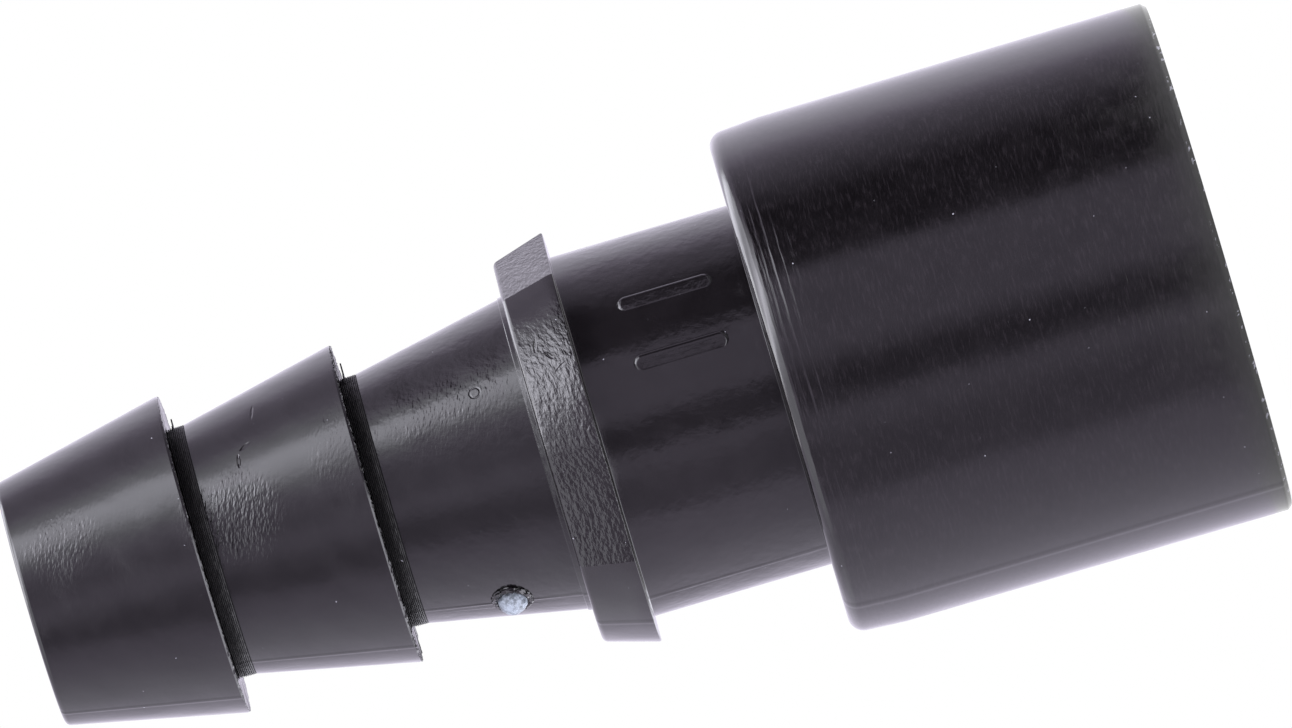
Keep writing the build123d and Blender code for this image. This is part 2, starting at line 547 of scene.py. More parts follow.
def neck_bar(sizes, details, at, turn):
    """Raised bar with round ends and a rounded crest that leans, sunk into the neck."""
    depth = details.bar_sunk + details.bar_height
    height = at.shoulder + details.bar_above_shoulder + details.bar_length / 2
    # Just under half the width, so that the two bevels of an end don't meet
    end_rounding = details.bar_width * 0.495

    def runs_inwards(first, last):
        return abs(first.x - last.x) > NEAR

    def on_crest(first, last):
        return min(first.x, last.x) > depth / 2 - NEAR

    bpy.ops.mesh.primitive_cube_add(size=1, location=(0, 0, 0))
    bar = start_piece("bar")
    bar.scale = (depth, details.bar_width, details.bar_length)
    settle(bar)
    edit(bar)
    bpy.ops.mesh.select_mode(type="EDGE")
    select_edges(bar, runs_inwards)
    bpy.ops.mesh.bevel(offset=end_rounding, segments=10, affect="EDGES")
    select_edges(bar, on_crest)
    bpy.ops.mesh.bevel(offset=details.bar_rounding, segments=6, affect="EDGES")
    leave_edit()
    bar.rotation_euler.z = -details.bar_lean
    bar.location = (sizes.neck_radius + details.bar_height - depth / 2, 0, height)
    settle(bar)
    bar.rotation_euler.z = turn
    settle(bar)
    return bar


def mark_bar_edges(piece, sizes, at):
    """Keeps the line where a bar meets the neck crisp, so that the neck beside it stays smooth."""
    margin = 0.01 * MM
    crease = math.radians(4)
    edit(piece)
    mesh = bmesh.from_edit_mesh(piece.data)
    for edge in mesh.edges:
        middle = (edge.verts[0].co + edge.verts[1].co) / 2
        reach = math.hypot(middle.x, middle.y)
        between = at.shoulder + MM < middle.z < at.heel - MM
        on_neck = between and abs(reach - sizes.neck_radius) < margin
        if on_neck and len(edge.link_faces) == 2 and edge.calc_face_angle() > crease:
            edge.smooth = False
    bmesh.update_edit_mesh(piece.data)
    leave_edit()


def gate_matrix(sizes, details, at):
    """Place on the root cone where the gate mark stands, with Z square to the cone."""
    slope = sizes.root_rise / (sizes.root_length - sizes.root_step_length)
    radius = at.root_radius - (details.gate_above_collar - sizes.root_step_length) * slope
    place = Vector((radius, 0, at.front + details.gate_above_collar))
    out = Vector((1, 0, slope)).normalized()
    return Matrix.Translation(place) @ out.to_track_quat("Z", "Y").to_matrix().to_4x4()


def gate_tool(kind, details, matrix):
    """Ragged ring to add at the gate, or ragged plug to cut the pit with."""
    if kind == "ring":
        bpy.ops.mesh.primitive_torus_add(
            major_radius=details.gate_ring,
            minor_radius=details.gate_ring_thickness,
            major_segments=64,
            minor_segments=16,
        )
        height = -details.gate_ring_sunk
    else:
        bpy.ops.mesh.primitive_uv_sphere_add(segments=48, ring_count=24, radius=details.gate_pit)
        height = details.gate_pit - details.gate_pit_depth
    tool = start_piece("gate_tool")
    tool.scale = (details.gate_stretch, 1, 1)
    tool.location = (details.gate_offset, 0, height)
    settle(tool)
    edit(tool)
    bpy.ops.mesh.select_all(action="SELECT")
    bpy.ops.transform.vertex_random(offset=details.gate_wander, uniform=0.3, normal=0.6, seed=7)
    leave_edit()
    tool.matrix_world = matrix
    settle(tool)
    return tool


def given_sizes(context):
    """Sizes of the moulding and of its details, and the levels that follow from them."""
    sizes = context.scene.moulding_sizes
    details = context.scene.detail_sizes
    return sizes, details, Levels(sizes, details.ridge_height)


class CONNECTOR_OT_moulding(bpy.types.Operator):
    """Build the whole moulding: tail, collar, neck and socket in one skin"""

    bl_idname = "connector.moulding"
    bl_label = "Moulding"

    def execute(self, context):
        sizes, details, at = given_sizes(context)
        points = outline_points(moulding_corners(sizes, at))
        piece = draw_section(points)
        turn_section(piece, sizes.turn_steps)
        flatten_collar(piece, sizes, at, points)
        mark_flat_edges(piece, sizes, at)
        leave_edit()
        piece.rotation_euler.z = sizes.flat_turn
        settle(piece)
        edit(piece)
        raise_parting_line(piece, sizes, details, at)
        roughen_edges(piece, sizes, details, at)
        leave_edit()
        for bar in range(details.bar_count):
            turn = details.bar_first + bar * details.bar_pitch
            merge_with(piece, neck_bar(sizes, details, at, turn), "UNION")
        mark_bar_edges(piece, sizes, at)
        matrix = gate_matrix(sizes, details, at)
        merge_with(piece, gate_tool("ring", details, matrix), "UNION")
        merge_with(piece, gate_tool("pit", details, matrix), "DIFFERENCE")
        bpy.ops.object.shade_smooth_by_angle(angle=math.radians(35), keep_sharp_edges=True)
        apply_modifier(piece, "WEIGHTED_NORMAL", keep_sharp=True)
        piece.data.materials.append(plastic_material(context.scene.finish_settings, at))
        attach(piece, BODY)
        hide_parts(NODE)
        return {"FINISHED"}


class CONNECTOR_OT_gate_stub(bpy.types.Operator):
    """Add the stub of plastic that broke off at the gate"""

    bl_idname = "connector.gate_stub"
    bl_label = "Gate stub"

    def execute(self, context):
        sizes, details, at = given_sizes(context)
        bpy.ops.object.select_all(action="DESELECT")
        bpy.ops.mesh.primitive_ico_sphere_add(subdivisions=5, radius=details.gate_stub)
        stub = start_piece("gate_stub")
        stub.scale = (details.stub_squash, 1, 1)
        settle(stub)
        edit(stub)
        bpy.ops.mesh.select_all(action="SELECT")
        bpy.ops.transform.vertex_random(offset=details.stub_wander, uniform=0.5, normal=0.5, seed=3)
        bpy.ops.mesh.vertices_smooth(factor=0.5, repeat=2)
        leave_edit()
        matrix = gate_matrix(sizes, details, at)
        shift = Matrix.Translation((details.stub_shift, 0, -details.stub_shift))
        stub.matrix_world = matrix @ shift
        settle(stub)
        bpy.ops.object.shade_smooth_by_angle(angle=math.radians(28))
        stub.data.materials.append(broken_material(context.scene.finish_settings))
        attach(stub, BODY)
        return {"FINISHED"}


class CONNECTOR_OT_flash(bpy.types.Operator):
    """Add the thin fins of flash that stand in the grooves behind the barbs"""

    bl_idname = "connector.flash"
    bl_label = "Flash"

    def execute(self, context):
        sizes, details, at = given_sizes(context)
        # Name, height, first and last turn in degrees, how far the tallest end stands out, and seed
        fins = (
            ("flash_fin_low", at.barb_bottom - 0.30 * MM, 136.0, 158.0, 0.80 * MM, 5),
            ("flash_fin_high", at.tip_barb_bottom - 0.36 * MM, 146.0, 160.0, 0.50 * MM, 9),
        )
        for name, height, first, last, tallest, seed in fins:
            fin = flash_fin(name, sizes, details, height, first, last, tallest, seed)
            fin.data.materials.append(bpy.data.materials["black plastic"])
            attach(fin, BODY)
        return {"FINISHED"}


def flash_fin(name, sizes, details, height, first, last, tallest, seed):
    """Thin fin that stands out of a groove over part of a turn, low and ragged, with a spike at its end.

    Its turns are in degrees.
    """
    bands = 3
    band = 0.1 * MM
    inner = sizes.groove_radius - band
    spike_start = 0.82
    start = math.radians(first)
    out = Vector((math.cos(start), math.sin(start), 0))
    fin = start_point(name, out * inner + Vector((0, 0, height)))
    for _ in range(bands):
        bpy.ops.mesh.extrude_region_move(TRANSFORM_OT_translate={"value": out * band})
    bpy.ops.mesh.select_all(action="SELECT")
    # Two steps to a degree. The operator's positive angle turns backwards
    bpy.ops.mesh.spin(
        steps=int(last - first) * 2,
        angle=math.radians(first - last),
        center=(0, 0, height),
        axis=(0, 0, 1),
    )
    bpy.ops.mesh.select_all(action="SELECT")
    bpy.ops.mesh.remove_doubles(threshold=NEAR)
    mesh = bmesh.from_edit_mesh(fin.data)
    for point in mesh.verts:
        radius = math.hypot(point.co.x, point.co.y)
        turn = math.degrees(math.atan2(point.co.y, point.co.x))
        share = (turn - first) / (last - first)
        ragged = 0.5 + 0.5 * math.sin(turn * 1.9 + seed) * math.sin(turn * 5.3 + 2 * seed)
        # The top is low and ragged, and rises to its full height at the end
        spike = max(0, share - spike_start) / (1 - spike_start)
        top = tallest * (0.12 + 0.2 * ragged + 0.9 * spike)
        level = (radius - inner) / (bands * band)
        reach = inner + level * (band + top)
        point.co.x *= reach / radius
        point.co.y *= reach / radius
    bmesh.update_edit_mesh(fin.data)
    leave_edit()
    apply_modifier(fin, "SOLIDIFY", thickness=details.flash_thickness, offset=0)
    bpy.ops.object.shade_smooth_by_angle(angle=math.radians(30))
    return fin


# Shader helpers


def put(tree, kind, **settings):
    """Adds a shader node with its settings."""
    node = tree.nodes.new(kind)
    for key, value in settings.items():
        setattr(node, key, value)
    return node


def feed(tree, socket, source):
    """Sets a socket to a number, or links it to another socket."""
    if isinstance(source, bpy.types.NodeSocket):
        tree.links.new(source, socket)
    else:
        socket.default_value = source


def blend(tree, share, first, second, kind="MIX"):
    """Colour between two colours, or their product."""
    node = put(tree, "ShaderNodeMix", data_type="RGBA", blend_type=kind)
    feed(tree, node.inputs["Factor"], share)
    feed(tree, node.inputs["A"], first)
    feed(tree, node.inputs["B"], second)
    return node.outputs["Result"]


def sums(tree, operation, first, second=0.0, third=0.0):
    """Result of a math node on numbers or sockets."""
    node = put(tree, "ShaderNodeMath", operation=operation)
    for socket, source in zip(node.inputs, (first, second, third)):
        feed(tree, socket, source)
    return node.outputs[0]


def product(tree, first, second):
    """Product of two values."""
    return sums(tree, "MULTIPLY", first, second)


def added(tree, total, mask, size):
    """A total plus a mask times a size."""
    return sums(tree, "MULTIPLY_ADD", mask, size, total)


def greater(tree, first, second):
    """The greater of two values."""
    return sums(tree, "MAXIMUM", first, second)


def away_from(tree, value, place):
    """How far a value is from a place, to either side."""
    return sums(tree, "ABSOLUTE", sums(tree, "SUBTRACT", value, place))


def ease(tree, value, low, high, start=0.0, end=1.0):
    """Smooth step of a value from low to high."""
    node = put(tree, "ShaderNodeMapRange", interpolation_type="SMOOTHSTEP")
    for socket, source in zip(node.inputs, (value, low, high, start, end)):
        feed(tree, socket, source)
    return node.outputs[0]


def fade(tree, value, low, high):
    """Smooth step of a value from one at low to zero at high."""
    return ease(tree, value, low, high, 1.0, 0.0)


def split(tree, point):
    """The X, Y and Z of a point."""
    node = put(tree, "ShaderNodeSeparateXYZ")
    tree.links.new(point, node.inputs[0])
    return node.outputs[0], node.outputs[1], node.outputs[2]


def joined(tree, x=0.0, y=0.0, z=0.0):
    """Point with a given X, Y and Z."""
    node = put(tree, "ShaderNodeCombineXYZ")
    for socket, source in zip(node.inputs, (x, y, z)):
        feed(tree, socket, source)
    return node.outputs[0]


def emboss(tree, skin, height, size):
    """Raises a skin by a height, which is counted in a size."""
    bump = put(tree, "ShaderNodeBump")
    bump.inputs["Distance"].default_value = size
    tree.links.new(height, bump.inputs["Height"])
    tree.links.new(bump.outputs[0], skin.inputs["Normal"])


def new_group(name, inputs, outputs):
    """Node group with named inputs, each with its default, and named outputs."""
    tree = bpy.data.node_groups.new(name, "ShaderNodeTree")
    for label, kind, default in inputs:
        socket = tree.interface.new_socket(name=label, in_out="INPUT", socket_type=kind)
        if default is not None:
            socket.default_value = default
    for label, kind in outputs:
        tree.interface.new_socket(name=label, in_out="OUTPUT", socket_type=kind)
    return tree, put(tree, "NodeGroupInput"), put(tree, "NodeGroupOutput")


def place_group(tree, group, **values):
    """Places a node group in a material, with its inputs set by name."""
    node = put(tree, "ShaderNodeGroup", node_tree=group)
    for label, source in values.items():
        feed(tree, node.inputs[label.replace("_", " ").capitalize()], source)
    return node


def turned_group():
    """Turn in degrees, height in millimetres, and the skin unrolled: around, out and along the axis."""
    tree, given, made = new_group(
        "turned coordinates",
        [("Point", "NodeSocketVector", None)],
        [("Turn", "NodeSocketFloat"), ("Along", "NodeSocketFloat"), ("Unrolled", "NodeSocketVector")],
    )
    x, y, z = split(tree, given.outputs["Point"])
    turn = sums(tree, "ARCTAN2", y, x)
    squares = added(tree, product(tree, x, x), y, y)
    radius = product(tree, sums(tree, "SQRT", squares), 1 / MM)
    along = product(tree, z, 1 / MM)
    unrolled = joined(tree, product(tree, turn, radius), radius, along)
    tree.links.new(sums(tree, "DEGREES", turn), made.inputs["Turn"])
    tree.links.new(along, made.inputs["Along"])
    tree.links.new(unrolled, made.inputs["Unrolled"])
    return tree


def noise(tree, point, scale, detail=0.0, stretch=(1, 1, 1)):
    """Noise on a point, which may be stretched first."""
    if stretch != (1, 1, 1):
        mapping = put(tree, "ShaderNodeMapping")
        mapping.inputs["Scale"].default_value = stretch
        tree.links.new(point, mapping.inputs["Vector"])
        point = mapping.outputs[0]
    node = put(tree, "ShaderNodeTexNoise", noise_dimensions="3D")
    node.inputs["Scale"].default_value = scale
    node.inputs["Detail"].default_value = detail
    tree.links.new(point, node.inputs["Vector"])
    return node.outputs[0]


def skin_group():
    """Height of a moulded skin in millimetres: dashes, turning rings, broad waves and small ripples."""
    tree, given, made = new_group(
        "moulded skin",
        [
            ("Unrolled", "NodeSocketVector", None),
            ("Dashes", "NodeSocketFloat", 0.004),
            ("Rings", "NodeSocketFloat", 0.01),
            ("Waves", "NodeSocketFloat", 0.01),
            ("Ripples", "NodeSocketFloat", 0.004),
        ],
        [("Height", "NodeSocketFloat")],
    )
    unrolled = given.outputs["Unrolled"]
    around, _, along = split(tree, unrolled)
    slanted = joined(tree, x=around, z=added(tree, along, around, 0.3))
    patterns = {
        "Dashes": noise(tree, slanted, scale=5.6, detail=1.0, stretch=(0.36, 1, 1)),
        "Rings": noise(tree, unrolled, scale=6.0, detail=1.0, stretch=(0.1, 0, 1)),
        "Waves": noise(tree, unrolled, scale=0.45),
        "Ripples": noise(tree, unrolled, scale=1.7, detail=3.0),
    }
    height = 0.0
    for label, pattern in patterns.items():
        height = added(tree, height, pattern, given.outputs[label])
    tree.links.new(height, made.inputs["Height"])
    return tree


def speck_group():
    """Mask of small round specks, scattered over the unrolled skin."""
    tree, given, made = new_group(
        "specks",
        [
            ("Unrolled", "NodeSocketVector", None),
            ("Cells", "NodeSocketFloat", 0.4),
            ("Size", "NodeSocketFloat", 0.026),
        ],
        [("Mask", "NodeSocketFloat")],
    )
    around, _, along = split(tree, given.outputs["Unrolled"])
    cell = put(tree, "ShaderNodeTexVoronoi", voronoi_dimensions="2D")
    tree.links.new(joined(tree, around, along), cell.inputs["Vector"])
    tree.links.new(given.outputs["Cells"], cell.inputs["Scale"])
    apart = put(tree, "ShaderNodeSeparateColor")
    tree.links.new(cell.outputs["Color"], apart.inputs[0])
    # Most cells hold a speck too small to see, because two chances are multiplied and squared
    chosen = product(tree, apart.outputs[0], apart.outputs[1])
    size = product(tree, product(tree, chosen, chosen), given.outputs["Size"])
    mask = sums(tree, "LESS_THAN", cell.outputs["Distance"], size)
    tree.links.new(mask, made.inputs["Mask"])
    return tree


def dent_group():
    """Mask of one spot at a turn and a height, and the reach from its middle, one at its edge."""
    tree, given, made = new_group(
        "dent",
        [
            ("Turn", "NodeSocketFloat", 0.0),
            ("Along", "NodeSocketFloat", 0.0),
            ("At turn", "NodeSocketFloat", 0.0),
            ("At height", "NodeSocketFloat", 0.0),
            ("Half turn", "NodeSocketFloat", 1.0),
            ("Half height", "NodeSocketFloat", 1.0),
            ("Slant", "NodeSocketFloat", 0.0),
        ],
        [("Mask", "NodeSocketFloat"), ("Reach", "NodeSocketFloat")],
    )
    side = sums(tree, "SUBTRACT", given.outputs["Turn"], given.outputs["At turn"])
    rise = sums(tree, "SUBTRACT", given.outputs["Along"], given.outputs["At height"])
    rise = added(tree, rise, side, given.outputs["Slant"])
    side = sums(tree, "DIVIDE", side, given.outputs["Half turn"])
    rise = sums(tree, "DIVIDE", rise, given.outputs["Half height"])
    reach = sums(tree, "SQRT", added(tree, product(tree, side, side), rise, rise))
    tree.links.new(fade(tree, reach, 0.4, 1.0), made.inputs["Mask"])
    tree.links.new(reach, made.inputs["Reach"])
    return tree


def new_material(name):
    """Material with its Principled node."""
    material = bpy.data.materials.new(name)
    material.use_nodes = True
    tree = material.node_tree
    return material, tree, tree.nodes["Principled BSDF"]


def collar_mask(tree, turned, at):
    """Where the collar is stippled: on its flats and over part of the stretch between them."""
    # In each half turn the first flat runs from 27 to 63 degrees, and the second from 117 to 153
    half = sums(tree, "MODULO", sums(tree, "ADD", turned.outputs["Turn"], 180.0), 180.0)
    start = ease(tree, half, 26.6, 27.6)
    end = fade(tree, half, 92.0, 112.0)
    flat = product(tree, ease(tree, half, 116.8, 117.2), fade(tree, half, 152.8, 153.2))
    around = product(tree, start, greater(tree, end, flat))
    heel = at.heel / MM
    front = at.front / MM
    low = ease(tree, turned.outputs["Along"], heel + 0.02, heel + 0.12)
    high = fade(tree, turned.outputs["Along"], front - 0.25, front - 0.05)
    return product(tree, around, product(tree, low, high))


def mark(tree, group, turned, at_turn, at_height, half_turn, half_height, slant=0.0):
    """Places the mask of one dent, patch or ring."""
    return place_group(
        tree,
        group,
        Turn=turned.outputs["Turn"],
        Along=turned.outputs["Along"],
        At_turn=at_turn,
        At_height=at_height,
        Half_turn=half_turn,
        Half_height=half_height,
        Slant=slant,
    )


# Patches where the skin is dashed: turn and height of the middle, half the turn and half the height
# that a patch takes up, and the depth of its dashes, in degrees and millimetres
PATCHES = (
    (76.0, 61.2, 26.0, 3.8, 0.042),
    (86.0, 71.8, 20.0, 3.2, 0.026),
    (90.0, 54.6, 20.0, 2.2, 0.016),
    (96.0, 47.5, 17.0, 6.5, 0.012),
    (95.0, 67.5, 17.0, 4.5, 0.006),
    (88.0, 47.0, 22.0, 6.0, 0.010),
    (102.5, 32.7, 5.0, 4.4, 0.016),
    (81.5, 32.7, 5.0, 4.4, 0.008),
    (200.0, 48.0, 40.0, 6.0, 0.015),
)

# Dents: turn and height of the middle, half the turn and half the height that a dent takes up, its
# slant in millimetres to a degree, and its depth
DENTS = (
    (95.2, 41.1, 2.4, 0.14, 0.05, 0.13),
    (90.6, 40.45, 1.8, 0.18, -0.12, 0.12),
    (98.3, 60.2, 3.6, 0.14, 0.02, 0.06),
    (104.0, 59.6, 1.6, 0.3, 0.2, 0.02),
    (121.0, 58.7, 5.0, 0.12, 0.03, 0.03),
    (86.0, 39.9, 1.2, 0.3, 0.3, 0.03),
)

# A small ring pressed into the root cone: turn and height of the middle, and half its sizes
PRESSED_RING = (94.6, 45.4, 2.6, 0.4)

# Rings that stand out on the socket's band: height, and how far they stand out
BAND_RINGS = ((25.9, 0.011), (25.3, 0.007), (26.4, 0.005), (24.6, 0.003))

# How far the tail swells, and how much more its tip barb and its root cone do, in millimetres
TAIL_SWELL = 0.26
TIP_SWELL = 0.02
ROOT_SWELL = 0.22


def step_at(tree, along, level, start=0.0, end=1.0):
    """Sharp step at one of the levels, from a value below it to a value above it."""
    return ease(tree, along, level / MM - 0.01, level / MM + 0.01, start, end)


def part_masks(tree, along, at):
    """Masks of the socket, of the whole tail, of its tip barb and of its root cone."""
    on_socket = fade(tree, along, at.shoulder / MM, at.shoulder / MM + 0.5)
    on_tail = step_at(tree, along, at.front)
    on_tip = step_at(tree, along, at.tip_barb_bottom)
    on_root = product(tree, step_at(tree, along, at.barb_bottom, 1.0, 0.0), on_tail)
    return on_socket, on_tail, on_tip, on_root


def moulded_height(tree, turned, group, masks, at):
    """Height of the skin as moulded: dashed in patches, ringed and rippled, and calm near the rim.

    The depth of each pattern is in millimetres, and changes from part to part.
    """
    on_socket, on_tail, _, on_root = masks
    along = turned.outputs["Along"]
    dashes = 0.001
    for *place, depth in PATCHES:
        dashes = added(tree, dashes, mark(tree, group, turned, *place).outputs["Mask"], depth)
    waves = added(tree, 0.045, on_socket, -0.035)
    rings = product(tree, on_socket, ease(tree, along, 1.0, 7.0))
    rings = added(tree, 0.0015, rings, 0.009)
    ripples = ease(tree, along, at.heel / MM - 1.6, at.heel / MM - 0.2, 0.027, 0.006)
    for mask, change in ((on_socket, -0.023), (on_tail, 0.004), (on_root, 0.012)):
        ripples = added(tree, ripples, mask, change)
    moulded = place_group(
        tree,
        skin_group(),
        Unrolled=turned.outputs["Unrolled"],
        Dashes=dashes,
        Rings=rings,
        Waves=waves,
        Ripples=ripples,
    )
    return product(tree, moulded.outputs["Height"], ease(tree, along, 0.0, 9.0, 0.2, 1.0))


def swollen(tree, height, turned, group, masks):
    """Swells the tail a little above its middle, which narrows the highlight on the root cone."""
    _, on_tail, on_tip, on_root = masks
    swell = mark(tree, group, turned, 125.0, 0.0, 58.0, 1000.0).outputs["Mask"]
    for mask, size in ((on_tail, TAIL_SWELL), (on_tip, TIP_SWELL), (on_root, ROOT_SWELL)):
        height = added(tree, height, product(tree, swell, mask), size)
    return height


def ringed(tree, height, along):
    """Raises the rings on the socket's band."""
    for at_height, size in BAND_RINGS:
        crest = fade(tree, away_from(tree, along, at_height), 0.0, 0.15)
        height = added(tree, height, crest, size)
    return height


def stippled(tree, height, unrolled, rough_collar):
    """Adds the collar's stipple, fine on coarse."""
    fine = noise(tree, unrolled, scale=4.6, detail=2.0, stretch=(0.55, 1, 1))
    coarse = noise(tree, unrolled, scale=1.6, detail=1.0)
    grain = added(tree, product(tree, fine, 0.07), coarse, 0.05)
    grain = sums(tree, "SUBTRACT", grain, 0.06)
    return added(tree, height, grain, rough_collar)


def dented(tree, height, turned, group):
    """Presses the dents and the small ring in."""
    for *place, slant, depth in DENTS:
        dent = mark(tree, group, turned, *place, slant)
        height = added(tree, height, dent.outputs["Mask"], -depth)
    ring = mark(tree, group, turned, *PRESSED_RING)
    line = fade(tree, away_from(tree, ring.outputs["Reach"], 0.8), 0.0, 0.25)
    return added(tree, height, line, -0.02)


def plastic_colour(tree, finish, turned, masks, specks, mottle):
    """Colour of the plastic: mottled, streaked on the socket, paler on neck and collar, and dusty.

    Pale specks painted along the rim stand in for glints on its edge.
    """
    on_socket, on_tail, _, _ = masks
    unrolled = turned.outputs["Unrolled"]
    bright = ease(tree, mottle, 0.3, 0.7, 0.8, 1.25)
    streaks = noise(tree, unrolled, scale=7.0, detail=1.0, stretch=(0.16, 0, 1))
    bright = added(tree, bright, ease(tree, streaks, 0.48, 0.72, 0.0, 1.5), on_socket)
    on_middle = sums(tree, "SUBTRACT", 1.0, sums(tree, "ADD", on_socket, on_tail))
    bright = added(tree, bright, on_middle, 0.7)
    lift = put(tree, "ShaderNodeCombineColor")
    for socket in lift.inputs[:3]:
        tree.links.new(bright, socket)
    shade = blend(tree, 1.0, finish.plastic, lift.outputs[0], "MULTIPLY")
    # Painted glints: pale specks in the dust colour, near the rim's edge
    rim_glints = ease(tree, noise(tree, unrolled, scale=2.2, detail=2.0), 0.6, 0.63)
    rim_glints = product(tree, rim_glints, fade(tree, turned.outputs["Along"], 0.12, 0.3))
    # Real dust specks and the painted glints on the rim both take the dust colour
    return blend(tree, greater(tree, specks, rim_glints), shade, finish.dust)


def plastic_roughness(tree, finish, along, rough_collar, specks, mottle, at):
    """Roughness of the plastic: it varies a little, and stipple, dust and grooves are duller."""
    gloss = finish.gloss_roughness
    rough = ease(tree, mottle, 0.3, 0.7, gloss - 0.02, gloss + 0.04)
    rough = added(tree, rough, rough_collar, finish.stipple_roughness - gloss)
    rough = greater(tree, rough, product(tree, specks, 0.9))
    for top in (at.tip_barb_bottom, at.barb_bottom):
        groove_middle = top / MM - 0.55
        away = away_from(tree, along, groove_middle)
        rough = greater(tree, rough, ease(tree, away, 0.5, 0.53, 0.55, 0.0))
    return rough


def plastic_material(finish, at):
    """Black moulded plastic with orange peel, turning rings, a stippled collar, dents and dust."""
    material, tree, skin = new_material("black plastic")
    skin.inputs["IOR"].default_value = 1.6
    point = put(tree, "ShaderNodeTexCoord")
    turned = place_group(tree, turned_group(), Point=point.outputs["Object"])
    unrolled = turned.outputs["Unrolled"]
    along = turned.outputs["Along"]
    group = dent_group()
    masks = part_masks(tree, along, at)
    rough_collar = collar_mask(tree, turned, at)
    specks = place_group(tree, speck_group(), Unrolled=unrolled).outputs["Mask"]
    mottle = noise(tree, unrolled, scale=0.6, detail=4.0)

    height = moulded_height(tree, turned, group, masks, at)
    height = swollen(tree, height, turned, group, masks)
    height = ringed(tree, height, along)
    height = stippled(tree, height, unrolled, rough_collar)
    height = dented(tree, height, turned, group)
    emboss(tree, skin, height, MM)

    shade = plastic_colour(tree, finish, turned, masks, specks, mottle)
    tree.links.new(shade, skin.inputs["Base Color"])
    rough = plastic_roughness(tree, finish, along, rough_collar, specks, mottle, at)
    tree.links.new(rough, skin.inputs["Roughness"])
    return material


def broken_material(finish):
    """Whitened plastic of the broken stub, with a torn grain."""
    material, tree, skin = new_material("broken plastic")
    skin.inputs["IOR"].default_value = 1.5
    point = put(tree, "ShaderNodeTexCoord")
    torn = noise(tree, point.outputs["Object"], scale=3.2 / MM, detail=5.0)
    shaded = [channel * 0.55 for channel in finish.broken[:3]] + [1]
    shade = blend(tree, ease(tree, torn, 0.38, 0.55), shaded, finish.broken)
    tree.links.new(shade, skin.inputs["Base Color"])
    tree.links.new(ease(tree, torn, 0.3, 0.7, 0.35, 0.6), skin.inputs["Roughness"])
    emboss(tree, skin, torn, 0.05 * MM)
    return material


# Stage


def camera_rays_white(tree, others):
    """Background that the camera sees as white, and that lights the object by another socket."""
    path = put(tree, "ShaderNodeLightPath")
    white = put(tree, "ShaderNodeBackground")
    white.inputs["Color"].default_value = (1, 1, 1, 1)
    mix = put(tree, "ShaderNodeMixShader")
    tree.links.new(path.outputs["Is Camera Ray"], mix.inputs[0])
    tree.links.new(others, mix.inputs[1])
    tree.links.new(white.outputs[0], mix.inputs[2])
    return mix.outputs[0]


def ramp(tree, value, stops):
    """Grey ramp over the turn from the viewer. Each stop gives a turn in degrees and a brightness."""
    node = put(tree, "ShaderNodeValToRGB")
    tree.links.new(value, node.inputs[0])
    stretch = node.color_ramp.elements
    while len(stretch) < len(stops):
        stretch.new(0.5)
    for element, (turn, bright) in zip(stretch, stops):
        grey = bright / BRIGHTEST
        element.position = (turn + 180) / 360
        element.color = (grey, grey, grey, 1)
    return node.outputs[0]


# How bright the studio is round the connector, by the turn from the viewer: white behind it, a dark
# gap on one side and a dim front. A key light shines above that gap, and a broad soft one higher up
# in front. The greys are shares of BRIGHTEST once they are in a ramp.
BRIGHTEST = 8.0
LEVEL_STUDIO = (
    (-180, 1.10), (-116, 1.12), (-97, 1.06), (-81, 0.95), (-67, 0.86), (-60, 0.73), (-54, 0.48),
    (-46, 0.44), (-36, 0.43), (-29, 0.50), (-23, 0.61), (-18, 0.58), (-12, 0.27), (-6, 0.17),
    (0, 0.21), (6, 0.44), (11, 0.59), (42, 0.60), (47, 0.48), (51, 0.10), (60, 0.04), (80, 0.04),
    (89, 0.18), (97, 0.35), (106, 0.48), (116, 0.68), (128, 1.10), (140, 1.20), (180, 1.15),
)
RAISED_STUDIO = (
    (-180, 1.10), (-140, 1.20), (-118, 1.30), (-97, 1.18), (-81, 1.05), (-60, 0.82), (-53, 0.69),
    (-45, 0.47), (-38, 0.41), (-30, 0.43), (-23, 0.55), (-15, 0.72), (-8, 0.76), (0, 0.66),
    (8, 0.60), (14, 0.80), (21, 1.05), (28, 1.50), (35, 2.60), (41, 3.30), (48, 3.80), (56, 3.90),
    (61, 3.50), (68, 2.00), (75, 1.55), (82, 1.25), (90, 0.85), (100, 0.70), (116, 0.75),
    (128, 0.98), (140, 1.20), (180, 1.15),
)
HIGH_STUDIO = (
    (-180, 1.10), (-99, 1.10), (-70, 1.50), (-45, 1.65), (-30, 1.70), (-15, 1.70), (0, 1.70),
    (20, 2.80), (40, 6.60), (55, 7.60), (64, 5.40), (92, 3.00), (118, 3.20), (130, 4.60), (155, 4.40),
    (180, 1.50),
)
LOW_STUDIO = ((-180, 1.10), (-150, 3.90), (0, 3.90), (20, 0.40), (120, 0.40), (150, 1.10))

# Dim light is a little purple, and bright light a little blue
TINT_DIM = (1.00, 0.90, 1.14, 1)
TINT_BRIGHT = (0.985, 0.98, 1.085, 1)


